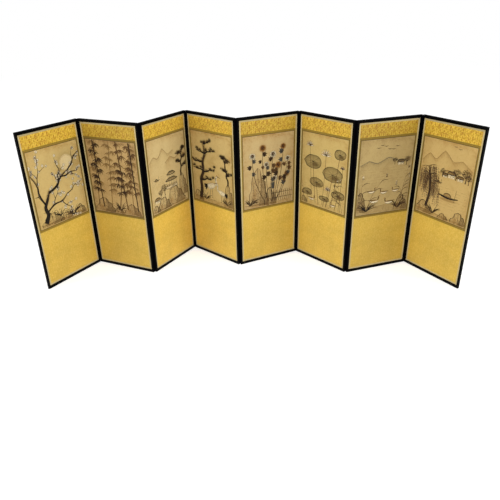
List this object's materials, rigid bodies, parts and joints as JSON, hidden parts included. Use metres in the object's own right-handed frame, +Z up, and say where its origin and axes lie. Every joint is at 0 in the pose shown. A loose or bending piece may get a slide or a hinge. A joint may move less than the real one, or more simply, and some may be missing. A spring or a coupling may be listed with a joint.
{
  "type": "folding screen",
  "caption": "Table-top folding screen of hinged papered panels in black lacquered frames, with a bordered picture, a gold brocade band and a gold silk field.",
  "frame": {"origin": "middle of the standing screen's footprint, on the surface it stands on", "axes": "+X along the screen from the viewer's left to right, +Y away from the viewer, +Z up"},
  "size_m": [1.1722, 0.2842, 0.45],
  "materials": {
    "lacquer": "black lacquer on wood, satin gloss",
    "gold_silk": "golden silk, woven scroll pattern in the upper band",
    "lining_paper": "cream handmade paper, matt",
    "border_paper": "olive border paper, matt",
    "picture_paper": "aged picture paper painted in ink, matt",
    "hinge_cloth": "black cotton tape, matt",
    "core_wood": "plain softwood, unfinished"
  },
  "bodies": {
    "panel_1": {"panel_1_core": "core_wood", "panel_1_frame": "lacquer", "panel_1_papers": "lining_paper", "panel_1_silk": "gold_silk", "panel_1_border": "border_paper", "panel_1_picture": "picture_paper", "panel_1_hinge_cloth": "hinge_cloth"},
    "panel_2": {"panel_2_core": "core_wood", "panel_2_frame": "lacquer", "panel_2_papers": "lining_paper", "panel_2_silk": "gold_silk", "panel_2_border": "border_paper", "panel_2_picture": "picture_paper", "panel_2_hinge_cloth": "hinge_cloth"},
    "panel_3": {"panel_3_core": "core_wood", "panel_3_frame": "lacquer", "panel_3_papers": "lining_paper", "panel_3_silk": "gold_silk", "panel_3_border": "border_paper", "panel_3_picture": "picture_paper", "panel_3_hinge_cloth": "hinge_cloth"},
    "panel_4": {"panel_4_core": "core_wood", "panel_4_frame": "lacquer", "panel_4_papers": "lining_paper", "panel_4_silk": "gold_silk", "panel_4_border": "border_paper", "panel_4_picture": "picture_paper", "panel_4_hinge_cloth": "hinge_cloth"},
    "panel_5": {"panel_5_core": "core_wood", "panel_5_frame": "lacquer", "panel_5_papers": "lining_paper", "panel_5_silk": "gold_silk", "panel_5_border": "border_paper", "panel_5_picture": "picture_paper", "panel_5_hinge_cloth": "hinge_cloth"},
    "panel_6": {"panel_6_core": "core_wood", "panel_6_frame": "lacquer", "panel_6_papers": "lining_paper", "panel_6_silk": "gold_silk", "panel_6_border": "border_paper", "panel_6_picture": "picture_paper", "panel_6_hinge_cloth": "hinge_cloth"},
    "panel_7": {"panel_7_core": "core_wood", "panel_7_frame": "lacquer", "panel_7_papers": "lining_paper", "panel_7_silk": "gold_silk", "panel_7_border": "border_paper", "panel_7_picture": "picture_paper", "panel_7_hinge_cloth": "hinge_cloth"},
    "panel_8": {"panel_8_core": "core_wood", "panel_8_frame": "lacquer", "panel_8_papers": "lining_paper", "panel_8_silk": "gold_silk", "panel_8_border": "border_paper", "panel_8_picture": "picture_paper", "panel_8_hinge_cloth": "hinge_cloth"}
  },
  "joints": [
    {"name": "hinge_1", "type": "hinge", "parent": "panel_1", "child": "panel_2", "pos_m": [-0.48385, 0.03255, 0.225], "axis": [0, 0, 1], "range_deg": [-96.8, 83.2]},
    {"name": "hinge_2", "type": "hinge", "parent": "panel_2", "child": "panel_3", "pos_m": [-0.29561, -0.03598, 0.225], "axis": [0, 0, -1], "range_deg": [-96.2, 83.8]},
    {"name": "hinge_3", "type": "hinge", "parent": "panel_3", "child": "panel_4", "pos_m": [-0.19464, 0.13704, 0.225], "axis": [0, 0, 1], "range_deg": [-78.1, 101.9]},
    {"name": "hinge_4", "type": "hinge", "parent": "panel_4", "child": "panel_5", "pos_m": [-0.03701, 0.01342, 0.225], "axis": [0, 0, -1], "range_deg": [-110.9, 69.1]},
    {"name": "hinge_5", "type": "hinge", "parent": "panel_5", "child": "panel_6", "pos_m": [0.14159, 0.10415, 0.225], "axis": [0, 0, 1], "range_deg": [-103.9, 76.1]},
    {"name": "hinge_6", "type": "hinge", "parent": "panel_6", "child": "panel_7", "pos_m": [0.28298, -0.03776, 0.225], "axis": [0, 0, -1], "range_deg": [-112.3, 67.7]},
    {"name": "hinge_7", "type": "hinge", "parent": "panel_7", "child": "panel_8", "pos_m": [0.47292, 0.02592, 0.225], "axis": [0, 0, 1], "range_deg": [-102, 78]}
  ]
}
